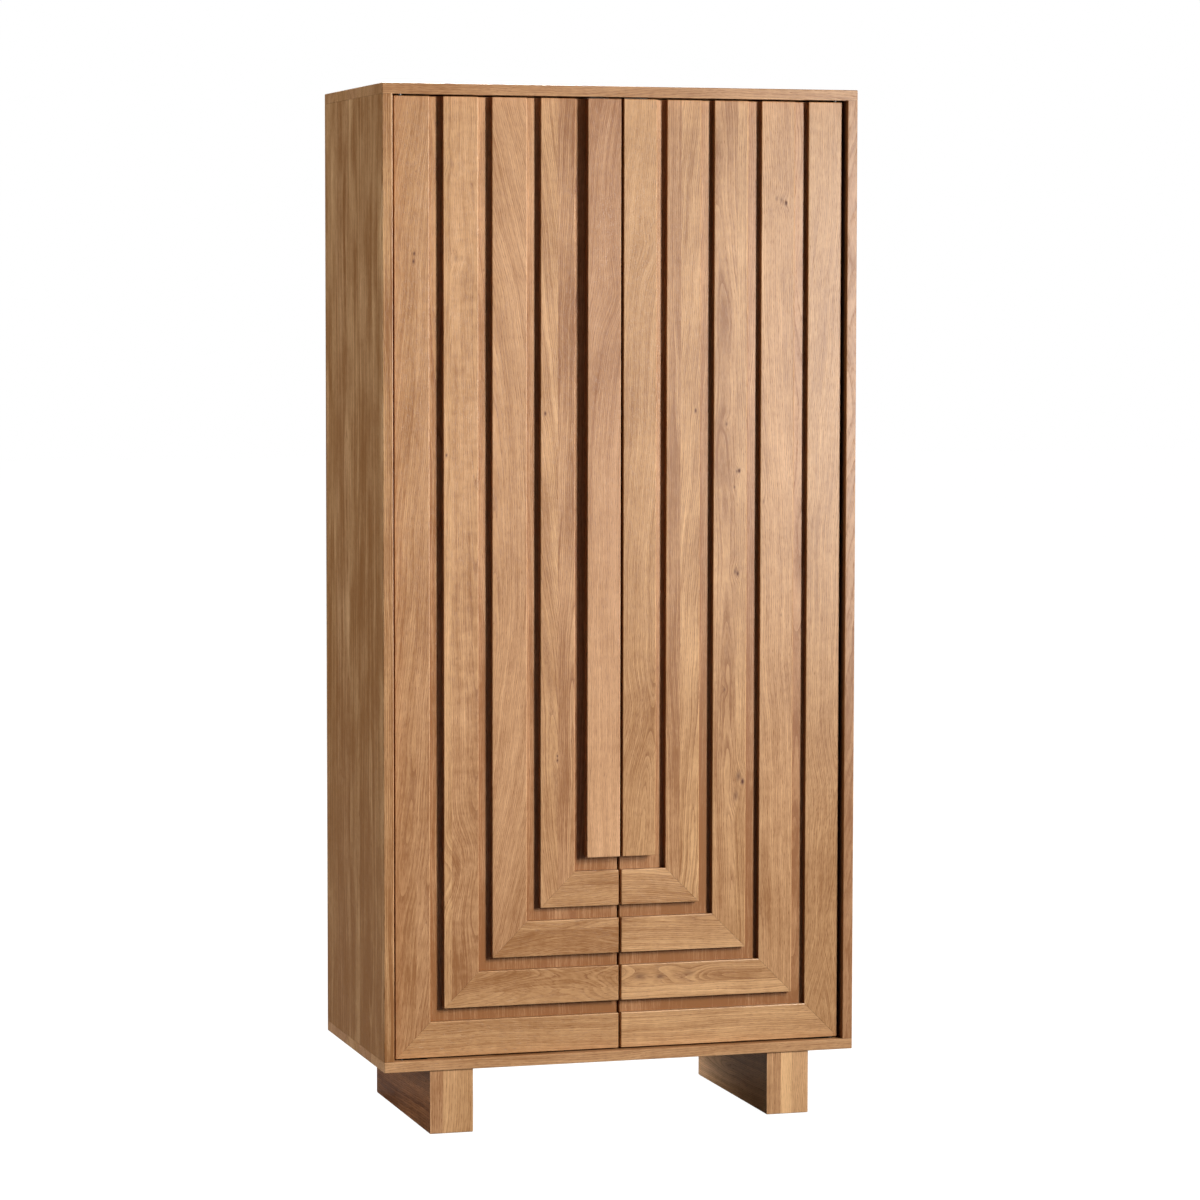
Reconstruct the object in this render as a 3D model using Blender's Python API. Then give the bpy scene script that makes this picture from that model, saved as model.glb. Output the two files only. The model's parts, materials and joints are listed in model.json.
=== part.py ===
"""A tall two-door cabinet in solid oak, standing on two boxed feet.

The doors carry the design. Each is a flat panel with four nested frames on it, and every frame
is a stile and a rail that meet in a mitre at the bottom outer corner and stay open at the top
and at the meeting edge. A thicker strip beside the meeting edge is the pull. The doors turn on
pivot hinges let into the top and bottom panels. Behind them are fixed and adjustable shelves.

Units are metres and +Z is up. The front faces -Y. The origin is on the floor, under the middle
of the cabinet.
"""

import math

import bmesh
import bpy
from mathutils import Vector

# Overall size
WIDTH = 0.900
DEPTH = 0.460
HEIGHT = 1.900

# Boards and joints
BOARD = 0.019                 # carcass boards and shelves
ARRIS = 0.0015                # softened edge of a board
SEAM = 0.0003                 # gap between two pieces that touch
OVERRUN = 0.010               # how far a cutter runs past the wood that it cuts

# Feet, each a box of four mitred boards
FOOT_HEIGHT = 0.117
FOOT_WIDTH = 0.081
FOOT_BOARD = 0.018
FOOT_SIDE_INSET = 0.086       # from the side of the cabinet to the foot
FOOT_FRONT_SETBACK = 0.004
FOOT_BACK_SETBACK = 0.044

# Back panel, held in a groove on all four sides
BACK_BOARD = 0.008
BACK_INSET = 0.012            # from the rear edges of the carcass to the panel
BACK_GROOVE = 0.007           # depth of the groove

# Doors
DOOR_SIDE_GAP = 0.006
DOOR_MEETING_GAP = 0.005
DOOR_END_GAP = 0.003          # above and below each door
DOOR_SETBACK = 0.015          # from the carcass front to the face of the frames
DOOR_BOARD = 0.016            # the flat panel behind the frames
FRAME_BOARD = 0.012           # the nested stiles and rails
PULL_BOARD = 0.020            # the pull strip at the meeting edge
FRAME_COUNT = 4
STILE_GAP = 0.0260            # clear width between two stiles
RAIL_GAP = 0.0235             # clear height between two rails
PULL_GAP = 0.0215             # between the innermost stile and the pull strip
PULL_FOOT_GAP = 0.0255        # between the innermost rail and the pull strip
PULL_WIDTH_SHARE = 0.97       # width of the pull strip, as a share of a frame's

# Shelves, from the bottom up
SHELVES = ("lower_loose", "lower_fixed", "upper_fixed", "upper_loose")
SHELF_SETBACK = 0.010         # from the back of the doors to the shelves
SHELF_END_GAP = 0.001         # beside a loose shelf
HOUSING = 0.006               # depth of the slot that holds a fixed shelf

# Shelf pins and the rows of holes for them
PIN_RADIUS = 0.0024
PIN_STEM = 0.009
PIN_HEAD_RADIUS = 0.0035
PIN_HEAD = 0.009
PIN_CHAMFER = 0.0006
PIN_HOLE_DEPTH = 0.010
PIN_COLUMN_INSET = 0.045      # from the front and back edges of the shelf
PIN_ROW_PITCH = 0.032
PIN_ROWS = 5
PIN_SIDES = 12

# Pivot hinges
PIVOT_INSET = 0.012           # from the outer edge of the door to the pivot
PIVOT_SETBACK = 0.009         # from the face of the frames to the pivot
PIVOT_RADIUS = 0.003
PIVOT_CHAMFER = 0.0005
EYE_CLEARANCE = 0.0004        # round the pivot, in the door's leaf
WASHER_RADIUS = 0.005
LEAF_LENGTH = 0.056
LEAF_WIDTH = 0.013
LEAF_THICKNESS = 0.0025
LEAF_SCREW_SHARES = (0.55, 0.85)
ROUND_SIDES = 24
SCREW_RADIUS = 0.0018
SCREW_HEAD_RADIUS = 0.0034
SCREW_SIDES = 12

# Magnetic catches under the top panel, and their plates on the doors
CATCH_OFFSET = 0.0365         # from the middle of the cabinet
CATCH_WIDTH = 0.043
CATCH_BODY = 0.028
CATCH_FLANGE = 0.003
CATCH_DROP = 0.013
CATCH_DEPTH = 0.015
CATCH_SLOT = 0.004            # across the gap between the two poles
CATCH_SLOT_DEPTH = 0.002
CATCH_AIR = 0.0005            # between a catch and its plate
STRIKE_WIDTH = 0.034
STRIKE_HEIGHT = 0.014
STRIKE_THICKNESS = 0.0015
STRIKE_CORNER = 0.003
STRIKE_EDGE = 0.002           # from the top of the door to the plate
STRIKE_SCREW_SHARE = 0.36     # of the plate's width, either side of its middle
CORNER_STEPS = 4

# Places that follow from the sizes
FRONT = -DEPTH / 2
BACK = DEPTH / 2
FLOOR = FOOT_HEIGHT + BOARD
CEILING = HEIGHT - BOARD
INNER_HALF = WIDTH / 2 - BOARD
MITRE_SHIFT = SEAM / math.sqrt(2)

BACK_FACE = BACK - BACK_INSET - BACK_BOARD

DOOR_WIDTH = INNER_HALF - DOOR_SIDE_GAP - DOOR_MEETING_GAP / 2
DOOR_BOTTOM = FLOOR + DOOR_END_GAP
DOOR_TOP = CEILING - DOOR_END_GAP
FRAME_FACE = FRONT + DOOR_SETBACK
PANEL_FACE = FRAME_FACE + FRAME_BOARD
PULL_FACE = PANEL_FACE - PULL_BOARD
DOOR_REAR = PANEL_FACE + DOOR_BOARD
FRAME_WIDTH = (DOOR_WIDTH - (FRAME_COUNT - 1) * STILE_GAP - PULL_GAP) / (FRAME_COUNT + PULL_WIDTH_SHARE)
STILE_PITCH = FRAME_WIDTH + STILE_GAP
RAIL_PITCH = FRAME_WIDTH + RAIL_GAP
PULL_START = FRAME_COUNT * STILE_PITCH - STILE_GAP + PULL_GAP
PULL_FOOT = DOOR_BOTTOM + FRAME_COUNT * RAIL_PITCH - RAIL_GAP + PULL_FOOT_GAP
PIVOT_PLACE = FRAME_FACE + PIVOT_SETBACK

SHELF_FRONT = DOOR_REAR + SHELF_SETBACK
SHELF_BACK = BACK_FACE - SEAM
BAY = (CEILING - FLOOR - len(SHELVES) * BOARD) / (len(SHELVES) + 1)

STRIKE_REAR = DOOR_REAR + SEAM + STRIKE_THICKNESS
CATCH_FACE = STRIKE_REAR + CATCH_AIR

# Finishes as colour, roughness and metallic value
CARCASS_OAK = ((0.47, 0.28, 0.145), 0.50, 0.0)
DOOR_OAK = ((0.44, 0.26, 0.135), 0.52, 0.0)
FRAME_OAK = ((0.52, 0.32, 0.175), 0.48, 0.0)
FOOT_OAK = ((0.50, 0.30, 0.160), 0.50, 0.0)
SHELF_OAK = ((0.45, 0.28, 0.155), 0.52, 0.0)
HINGE_STEEL = ((0.56, 0.55, 0.52), 0.35, 1.0)
NICKEL = ((0.66, 0.64, 0.60), 0.28, 1.0)
CATCH_SHELL = ((0.62, 0.60, 0.56), 0.45, 0.0)

SIDES = ("left", "right")
ENDS = ("top", "bottom")


def clear_scene():
    """Removes whatever the file holds, so that every run starts empty."""
    for old in list(bpy.data.objects):
        bpy.data.objects.remove(old, do_unlink=True)


def way_of(name):
    """Which way a side or an end lies: +X for right, +Z for top."""
    return 1 if name in ("right", "top") else -1


def axes_of(plane):
    """Numbers of the two axes that a plane is named for, then of the axis square to it."""
    first, second = ["XYZ".index(letter) for letter in plane]
    return first, second, sum(range(len("XYZ"))) - first - second


def add_prism(form, outline, plane, low, high, origin):
    """Adds an outline drawn in a plane, extruded from low to high along the third axis.

    Returns the faces by name: "low", "high" and the number of each side of the outline.
    """
    first, second, third = axes_of(plane)

    def corner(point, level):
        place = Vector((0, 0, 0))
        place[first] = point[0]
        place[second] = point[1]
        place[third] = level
        return form.verts.new(place - origin)

    low_ring = [corner(point, low) for point in outline]
    high_ring = [corner(point, high) for point in outline]
    faces = {"low": form.faces.new(low_ring), "high": form.faces.new(high_ring)}
    for side in range(len(outline)):
        after = (side + 1) % len(outline)
        ring = (low_ring[side], low_ring[after], high_ring[after], high_ring[side])
        faces[side] = form.faces.new(ring)
    bmesh.ops.recalc_face_normals(form, faces=list(faces.values()))
    return faces


def finish_object(name, form, origin, parent=None):
    """Turns a bmesh into an object at origin, carried by parent where there is one."""
    mesh = bpy.data.meshes.new(name)
    form.to_mesh(mesh)
    form.free()
    piece = bpy.data.objects.new(name, mesh)
    bpy.context.scene.collection.objects.link(piece)
    piece.location = origin
    if parent is not None:
        piece.parent = parent
        piece.location = origin - parent.location
    return piece


def paint(piece, finish):
    """Gives a piece its own material."""
    colour, roughness, metallic = finish
    material = bpy.data.materials.new(piece.name)
    material.use_nodes = True
    shader = material.node_tree.nodes["Principled BSDF"]
    shader.inputs["Base Color"].default_value = (*colour, 1.0)
    shader.inputs["Roughness"].default_value = roughness
    shader.inputs["Metallic"].default_value = metallic
    piece.data.materials.append(material)


def middle(outline, plane, low, high):
    """The centre of a prism's box, which becomes the piece's own origin."""
    first, second, third = axes_of(plane)
    centre = Vector((0, 0, 0))
    centre[first] = (min(point[0] for point in outline) + max(point[0] for point in outline)) / 2
    centre[second] = (min(point[1] for point in outline) + max(point[1] for point in outline)) / 2
    centre[third] = (low + high) / 2
    return centre


def make_board(name, outline, plane, low, high, finish, joints=(), parent=None):
    """A board with softened edges. The faces named in joints meet other boards and stay crisp."""
    origin = middle(outline, plane, low, high)
    form = bmesh.new()
    soft = form.edges.layers.float.new("bevel_weight_edge")
    faces = add_prism(form, outline, plane, low, high, origin)
    crisp = {faces[joint] for joint in joints}
    for edge in form.edges:
        if not crisp.intersection(edge.link_faces):
            edge[soft] = 1.0
    board = finish_object(name, form, origin, parent)
    paint(board, finish)
    bevel = board.modifiers.new("arris", "BEVEL")
    bevel.limit_method = "WEIGHT"
    bevel.offset_type = "OFFSET"
    bevel.width = ARRIS
    bevel.segments = 2
    return board


def make_plate(name, outline, plane, low, high, finish, parent=None):
    """A metal or moulded piece of even thickness, with square edges."""
    origin = middle(outline, plane, low, high)
    form = bmesh.new()
    add_prism(form, outline, plane, low, high, origin)
    plate = finish_object(name, form, origin, parent)
    paint(plate, finish)
    return plate


def turn(profile, sides):
    """A bmesh turned about Z from a profile of radius and height, which starts and ends at Z."""
    form = bmesh.new()
    points = [form.verts.new((radius, 0, height)) for radius, height in profile]
    edges = [form.edges.new(pair) for pair in zip(points, points[1:])]
    bmesh.ops.spin(
        form,
        geom=points + edges,
        axis=(0, 0, 1),
        cent=(0, 0, 0),
        angle=math.tau,
        steps=sides,
        use_merge=True,
    )
    bmesh.ops.remove_doubles(form, verts=form.verts, dist=SEAM / 100)
    bmesh.ops.recalc_face_normals(form, faces=form.faces)
    return form


def hide(tool):
    """A tool shapes other pieces and is not one itself."""
    tool.hide_render = True
    tool.display_type = "WIRE"
    return tool


def cutting_tool(name, prisms):
    """One tool from several separate prisms, each an outline, a plane, a low and a high level."""
    form = bmesh.new()
    origin = Vector((0, 0, 0))
    for outline, plane, low, high in prisms:
        add_prism(form, outline, plane, low, high, origin)
    return hide(finish_object(name, form, origin))


def combine(piece, tool, operation="DIFFERENCE"):
    """Cuts a tool out of a piece, or joins it on."""
    change = piece.modifiers.new(tool.name, "BOOLEAN")
    change.operation = operation
    change.solver = "EXACT"
    change.object = tool


def box_outline(first_low, first_high, second_low, second_high):
    """A rectangle as four points, counted from its low corner."""
    return [
        (first_low, second_low),
        (first_high, second_low),
        (first_high, second_high),
        (first_low, second_high),
    ]


def round_outline(centre, radius, sides):
    """A regular polygon in place of a circle."""
    turns = [math.tau * step / sides for step in range(sides)]
    return [(centre[0] + radius * math.cos(t), centre[1] + radius * math.sin(t)) for t in turns]


def arc(centre, radius, start, end, steps):
    """Points along an arc between two angles, both ends included."""
    angles = [start + (end - start) * step / steps for step in range(steps + 1)]
    return [(centre[0] + radius * math.cos(a), centre[1] + radius * math.sin(a)) for a in angles]


def rounded_outline(centre, width, height, radius):
    """A rectangle about a centre, with rounded corners."""
    reach_x = width / 2 - radius
    reach_y = height / 2 - radius
    points = []
    for number, (side_x, side_y) in enumerate(((1, 1), (-1, 1), (-1, -1), (1, -1))):
        corner = (centre[0] + side_x * reach_x, centre[1] + side_y * reach_y)
        start = number * math.pi / 2
        points += arc(corner, radius, start, start + math.pi / 2, CORNER_STEPS)
    return points


def make_carcass():
    """The case: a top panel laid over two side panels that stand on the bottom panel."""
    flat = box_outline(-WIDTH / 2, WIDTH / 2, FRONT, BACK)
    top = make_board("top_panel", flat, "XY", CEILING, HEIGHT, CARCASS_OAK, joints=("low",))
    bottom = make_board("bottom_panel", flat, "XY", FOOT_HEIGHT, FLOOR, CARCASS_OAK, joints=("high",))

    reach = INNER_HALF + BACK_GROOVE
    groove = box_outline(-reach, reach, BACK_FACE - SEAM, BACK_FACE + BACK_BOARD + SEAM)
    groove_levels = (FLOOR - BACK_GROOVE, CEILING + BACK_GROOVE)
    combine(top, cutting_tool("top_groove_tool", [(groove, "XY", CEILING - OVERRUN, groove_levels[1])]))
    combine(bottom, cutting_tool("bottom_groove_tool", [(groove, "XY", groove_levels[0], FLOOR + OVERRUN)]))

    for name in SIDES:
        make_side(name, way_of(name))

    reach -= SEAM
    back = box_outline(-reach, reach, groove_levels[0] + SEAM, groove_levels[1] - SEAM)
    make_board("back_panel", back, "XZ", BACK_FACE, BACK_FACE + BACK_BOARD, SHELF_OAK)
    return {"top": top, "bottom": bottom}


def make_side(name, side):
    """A side panel, grooved for the back and slotted and drilled for the shelves."""
    outline = box_outline(FRONT, BACK, FLOOR + SEAM, CEILING - SEAM)
    inner = side * INNER_HALF
    outer = side * WIDTH / 2
    # Sides 0 and 2 of the outline are the ends under the bottom and top panels.
    panel = make_board(f"{name}_side_panel", outline, "YZ", inner, outer, CARCASS_OAK, joints=(0, 2))

    clear = inner - side * OVERRUN
    groove = box_outline(
        BACK_FACE - SEAM, BACK_FACE + BACK_BOARD + SEAM, FLOOR - OVERRUN, CEILING + OVERRUN
    )
    groove_cut = [(groove, "YZ", clear, inner + side * BACK_GROOVE)]
    combine(panel, cutting_tool(f"{name}_groove_tool", groove_cut))

    housings = []
    holes = []
    for number, shelf in enumerate(SHELVES):
        level = shelf_level(number)
        if is_fixed(shelf):
            slot = box_outline(SHELF_FRONT - SEAM, SHELF_BACK, level - SEAM, level + BOARD + SEAM)
            housings.append((slot, "YZ", clear, inner + side * HOUSING))
        else:
            holes += [(hole, "YZ", clear, inner + side * PIN_HOLE_DEPTH) for hole in pin_holes(level)]
    combine(panel, cutting_tool(f"{name}_housing_tool", housings))
    combine(panel, cutting_tool(f"{name}_pin_hole_tool", holes))


def is_fixed(shelf):
    """A fixed shelf sits in housings, and a loose one lies on pins."""
    return shelf.endswith("fixed")


def shelf_level(number):
    """Height of the underside of a shelf, counted from nought at the bottom."""
    return FLOOR + BAY + number * (BAY + BOARD)


def pin_columns():
    """Where the two columns of pins stand, from front to back."""
    return {"front": SHELF_FRONT + PIN_COLUMN_INSET, "back": SHELF_BACK - PIN_COLUMN_INSET}


def pin_level(level):
    """Height of the pins' centres under a shelf whose underside is at level."""
    return level - SEAM - PIN_HEAD_RADIUS


def pin_holes(level):
    """Outlines of the holes in two columns, in rows above and below the shelf's own pins."""
    outlines = []
    for place in pin_columns().values():
        for row in range(PIN_ROWS):
            height = pin_level(level) + (row - PIN_ROWS // 2) * PIN_ROW_PITCH
            outlines.append(round_outline((place, height), PIN_RADIUS + SEAM, PIN_SIDES))
    return outlines


def make_shelves():
    """Two shelves held in slots and two that lie loose on pins."""
    for number, shelf in enumerate(SHELVES):
        level = shelf_level(number)
        if is_fixed(shelf):
            reach = INNER_HALF + HOUSING - SEAM
        else:
            reach = INNER_HALF - SHELF_END_GAP
        outline = box_outline(-reach, reach, SHELF_FRONT, SHELF_BACK)
        # The ends, sides 1 and 3 of the outline, meet the side panels.
        make_board(f"{shelf}_shelf", outline, "XY", level, level + BOARD, SHELF_OAK, joints=(1, 3))
        if not is_fixed(shelf):
            make_pins(f"{shelf}_shelf", level)


def make_pins(shelf, level):
    """Four turned pins: a stem in the side panel and a thicker head that carries the shelf."""
    profile = [
        (0, -PIN_STEM),
        (PIN_RADIUS - PIN_CHAMFER, -PIN_STEM),
        (PIN_RADIUS, PIN_CHAMFER - PIN_STEM),
        (PIN_RADIUS, SEAM),
        (PIN_HEAD_RADIUS, SEAM),
        (PIN_HEAD_RADIUS, PIN_HEAD - PIN_CHAMFER),
        (PIN_HEAD_RADIUS - PIN_CHAMFER, PIN_HEAD),
        (0, PIN_HEAD),
    ]
    for side_name in SIDES:
        side = way_of(side_name)
        for column, place in pin_columns().items():
            origin = Vector((side * INNER_HALF, place, pin_level(level)))
            pin = finish_object(f"{shelf}_pin_{side_name}_{column}", turn(profile, PIN_SIDES), origin)
            # The profile's +Z turns to point into the cabinet.
            pin.rotation_euler = (0, -side * math.pi / 2, 0)
            paint(pin, NICKEL)
            pin.data.shade_smooth()
            pin.data.set_sharp_from_angle(angle=math.radians(40))


def make_feet():
    """Two feet, each a box of four boards, mitred at the corners and open underneath."""
    front = FRONT + FOOT_FRONT_SETBACK
    back = BACK - FOOT_BACK_SETBACK
    for name in SIDES:
        side = way_of(name)
        outer = side * (WIDTH / 2 - FOOT_SIDE_INSET)
        inner = outer - side * FOOT_WIDTH
        step = side * FOOT_BOARD
        rim = box_outline(outer, inner, front, back)
        core = box_outline(outer - step, inner + step, front + FOOT_BOARD, back - FOOT_BOARD)
        for number, board in enumerate(("front", "inner", "back", "outer")):
            after = (number + 1) % len(rim)
            start = Vector(rim[number])
            end = Vector(rim[after])
            shift = (end - start).normalized() * MITRE_SHIFT
            outline = [start + shift, end - shift, Vector(core[after]) - shift, Vector(core[number]) + shift]
            # Sides 1 and 3 of the outline are the mitres, and the top meets the bottom panel.
            make_board(
                f"{name}_foot_{board}_board",
                outline,
                "XY",
                0,
                FOOT_HEIGHT - SEAM,
                FOOT_OAK,
                joints=(1, 3, "high"),
            )


def door_place(side, across):
    """X of a point on a door, given its distance from the door's outer edge."""
    return side * (INNER_HALF - DOOR_SIDE_GAP - across)


def make_door(name, side):
    """A door on an empty that stands on its pivot line. Returns what the hinges are let into."""
    pivot = bpy.data.objects.new(f"{name}_door_pivot", None)
    bpy.context.scene.collection.objects.link(pivot)
    pivot.location = (door_place(side, PIVOT_INSET), PIVOT_PLACE, (DOOR_BOTTOM + DOOR_TOP) / 2)

    outer = door_place(side, 0)
    meeting = door_place(side, DOOR_WIDTH)
    outline = box_outline(outer, meeting, DOOR_BOTTOM, DOOR_TOP)
    panel = make_board(f"{name}_door_panel", outline, "XZ", PANEL_FACE, DOOR_REAR, DOOR_OAK, parent=pivot)

    stiles = []
    rails = []
    for number in range(FRAME_COUNT):
        stiles.append(make_stile(name, side, number, pivot))
        rails.append(make_rail(name, side, number, pivot))
    make_pull(name, side, pivot)
    make_strike(name, side, pivot)
    return {"pivot": pivot, "top": (panel, stiles[0]), "bottom": (panel, rails[0])}


def make_stile(name, side, number, pivot):
    """The upright of one frame, cut to a mitre at its foot."""
    edge = number * STILE_PITCH
    outer = door_place(side, edge)
    inner = door_place(side, edge + FRAME_WIDTH)
    foot = DOOR_BOTTOM + number * RAIL_PITCH + MITRE_SHIFT
    outline = [(outer, foot), (inner, foot + FRAME_WIDTH), (inner, DOOR_TOP), (outer, DOOR_TOP)]
    return make_board(
        f"{name}_door_stile_{number + 1}",
        outline,
        "XZ",
        FRAME_FACE,
        PANEL_FACE - SEAM,
        FRAME_OAK,
        joints=(0, "high"),
        parent=pivot,
    )


def make_rail(name, side, number, pivot):
    """The level board of one frame, mitred at the outer end and open at the meeting edge."""
    edge = number * STILE_PITCH
    toe = door_place(side, edge + MITRE_SHIFT)
    heel = door_place(side, edge + MITRE_SHIFT + FRAME_WIDTH)
    meeting = door_place(side, DOOR_WIDTH)
    low = DOOR_BOTTOM + number * RAIL_PITCH
    high = low + FRAME_WIDTH
    outline = [(toe, low), (meeting, low), (meeting, high), (heel, high)]
    return make_board(
        f"{name}_door_rail_{number + 1}",
        outline,
        "XZ",
        FRAME_FACE,
        PANEL_FACE - SEAM,
        FRAME_OAK,
        joints=(3, "high"),
        parent=pivot,
    )


def make_pull(name, side, pivot):
    """The thick strip at the meeting edge, which stands proud of the frames as the pull."""
    outline = box_outline(
        door_place(side, PULL_START), door_place(side, DOOR_WIDTH), PULL_FOOT, DOOR_TOP
    )
    make_board(
        f"{name}_door_pull_strip",
        outline,
        "XZ",
        PULL_FACE,
        PANEL_FACE - SEAM,
        FRAME_OAK,
        joints=("high",),
        parent=pivot,
    )


def make_strike(name, side, pivot):
    """The steel plate on the back of a door that its catch pulls on."""
    centre = (side * CATCH_OFFSET, DOOR_TOP - STRIKE_EDGE - STRIKE_HEIGHT / 2)
    outline = rounded_outline(centre, STRIKE_WIDTH, STRIKE_HEIGHT, STRIKE_CORNER)
    plate = make_plate(
        f"{name}_door_strike_plate", outline, "XZ", DOOR_REAR + SEAM, STRIKE_REAR, NICKEL, parent=pivot
    )
    holes = []
    for way in (-1, 1):
        place = (centre[0] + way * STRIKE_SCREW_SHARE * STRIKE_WIDTH, centre[1])
        hole = round_outline(place, SCREW_RADIUS, SCREW_SIDES)
        holes.append((hole, "XZ", DOOR_REAR, STRIKE_REAR + OVERRUN))
    combine(plate, cutting_tool(f"{name}_strike_hole_tool", holes))


def make_catch(name, side):
    """A magnetic catch: a flange under the top panel and a body with two poles at its front."""
    centre = side * CATCH_OFFSET
    seat = CEILING - SEAM
    shoulder = seat - CATCH_FLANGE
    foot = shoulder - CATCH_DROP
    outline = [
        (centre - CATCH_WIDTH / 2, seat),
        (centre - CATCH_WIDTH / 2, shoulder),
        (centre - CATCH_BODY / 2, shoulder),
        (centre - CATCH_BODY / 2, foot),
        (centre + CATCH_BODY / 2, foot),
        (centre + CATCH_BODY / 2, shoulder),
        (centre + CATCH_WIDTH / 2, shoulder),
        (centre + CATCH_WIDTH / 2, seat),
    ]
    rear = CATCH_FACE + CATCH_DEPTH
    catch = make_plate(f"{name}_catch", outline, "XZ", CATCH_FACE, rear, CATCH_SHELL)

    slot = box_outline(
        centre - CATCH_BODY / 2 - OVERRUN,
        centre + CATCH_BODY / 2 + OVERRUN,
        (shoulder + foot - CATCH_SLOT) / 2,
        (shoulder + foot + CATCH_SLOT) / 2,
    )
    slot_cut = [(slot, "XZ", CATCH_FACE - OVERRUN, CATCH_FACE + CATCH_SLOT_DEPTH)]
    combine(catch, cutting_tool(f"{name}_catch_slot_tool", slot_cut))

    holes = []
    for way in (-1, 1):
        place = (centre + way * (CATCH_WIDTH + CATCH_BODY) / 4, (CATCH_FACE + rear) / 2)
        hole = round_outline(place, SCREW_RADIUS, SCREW_SIDES)
        holes.append((hole, "XY", shoulder - OVERRUN, seat + OVERRUN))
    combine(catch, cutting_tool(f"{name}_catch_hole_tool", holes))


def leaf_outline(side, clearance):
    """A hinge leaf from above: round at both ends, with the pivot at the centre of one end."""
    radius = LEAF_WIDTH / 2 + clearance
    near = (door_place(side, PIVOT_INSET), PIVOT_PLACE)
    far = (door_place(side, PIVOT_INSET + LEAF_LENGTH - LEAF_WIDTH), PIVOT_PLACE)
    left, right = sorted((near, far))
    half = ROUND_SIDES // 2
    points = arc(right, radius, -math.pi / 2, math.pi / 2, half)
    points += arc(left, radius, math.pi / 2, math.pi * 3 / 2, half)
    return points


def screw_tool(name, side, face, away):
    """Two countersunk holes through a leaf, whose wide ends open at face, towards away."""
    form = bmesh.new()
    sink = SCREW_HEAD_RADIUS - SCREW_RADIUS
    profile = [
        (0, -OVERRUN),
        (SCREW_RADIUS, -OVERRUN),
        (SCREW_RADIUS, -sink),
        (SCREW_HEAD_RADIUS, 0),
        (SCREW_HEAD_RADIUS, OVERRUN),
        (0, OVERRUN),
    ]
    for share in LEAF_SCREW_SHARES:
        across = PIVOT_INSET - LEAF_WIDTH / 2 + share * LEAF_LENGTH
        hole = turn(profile, SCREW_SIDES)
        for point in hole.verts:
            point.co.z *= away
            point.co += Vector((door_place(side, across), PIVOT_PLACE, face))
        mesh = bpy.data.meshes.new(name)
        hole.to_mesh(mesh)
        hole.free()
        form.from_mesh(mesh)
        bpy.data.meshes.remove(mesh)
    bmesh.ops.recalc_face_normals(form, faces=form.faces)
    return hide(finish_object(name, form, Vector((0, 0, 0))))


def make_hinge(name, side, end, carcass_panel, door):
    """One pivot hinge: a leaf with a pivot in the carcass and a leaf with an eye in the door."""
    up = way_of(end)
    face = FLOOR if end == "bottom" else CEILING
    edge = face - up * DOOR_END_GAP
    leaf = leaf_outline(side, 0)
    mortise = leaf_outline(side, SEAM)

    carcass_leaf = make_plate(
        f"{name}_{end}_hinge_carcass_leaf", leaf, "XY", face, face + up * LEAF_THICKNESS, HINGE_STEEL
    )
    profile = [
        (0, -LEAF_THICKNESS / 2),
        (WASHER_RADIUS, -LEAF_THICKNESS / 2),
        (WASHER_RADIUS, DOOR_END_GAP - SEAM),
        (PIVOT_RADIUS, DOOR_END_GAP - SEAM),
        (PIVOT_RADIUS, DOOR_END_GAP + LEAF_THICKNESS - PIVOT_CHAMFER),
        (PIVOT_RADIUS - PIVOT_CHAMFER, DOOR_END_GAP + LEAF_THICKNESS),
        (0, DOOR_END_GAP + LEAF_THICKNESS),
    ]
    place = Vector((door_place(side, PIVOT_INSET), PIVOT_PLACE, face))
    post = hide(finish_object(f"{name}_{end}_pivot_tool", turn(profile, ROUND_SIDES), place))
    if end == "top":
        post.rotation_euler = (math.pi, 0, 0)
    combine(carcass_leaf, post, "UNION")
    combine(carcass_leaf, screw_tool(f"{name}_{end}_carcass_screw_tool", side, face, -up))

    door_leaf = make_plate(
        f"{name}_{end}_hinge_door_leaf",
        leaf,
        "XY",
        edge,
        edge - up * LEAF_THICKNESS,
        HINGE_STEEL,
        parent=door["pivot"],
    )
    eye = round_outline((place.x, place.y), PIVOT_RADIUS + EYE_CLEARANCE, ROUND_SIDES)
    eye_cut = [(eye, "XY", edge - OVERRUN, edge + OVERRUN)]
    combine(door_leaf, cutting_tool(f"{name}_{end}_eye_tool", eye_cut))
    combine(door_leaf, screw_tool(f"{name}_{end}_door_screw_tool", side, edge, up))

    depth = LEAF_THICKNESS + SEAM
    carcass_cut = [(mortise, "XY", face - up * OVERRUN, face + up * depth)]
    combine(carcass_panel, cutting_tool(f"{name}_{end}_carcass_mortise_tool", carcass_cut))
    door_cut = [(mortise, "XY", edge - up * depth, edge + up * OVERRUN)]
    door_tool = cutting_tool(f"{name}_{end}_door_mortise_tool", door_cut)
    for board in door[end]:
        combine(board, door_tool)


def main():
    """Builds the cabinet from the case outwards."""
    clear_scene()
    panels = make_carcass()
    make_shelves()
    make_feet()
    for name in SIDES:
        side = way_of(name)
        door = make_door(name, side)
        make_catch(name, side)
        for end in ENDS:
            make_hinge(name, side, end, panels[end], door)


main()
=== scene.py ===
# %% [markdown]
# # A tall oak cabinet, dressed in Blender
#
# The cabinet is a joiner's piece: a plain case on two boxed feet, and two doors with four nested
# frames on each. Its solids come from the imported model, one mesh for each board, and they stay as
# they are. What is made here is everything that a bare solid lacks: the grain of every board, the
# finish of the metal and the catches, the screws, the floor, the lights and the camera.

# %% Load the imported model
import json
import math

import bpy
import numpy as np
from mathutils import Matrix, Vector

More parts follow.
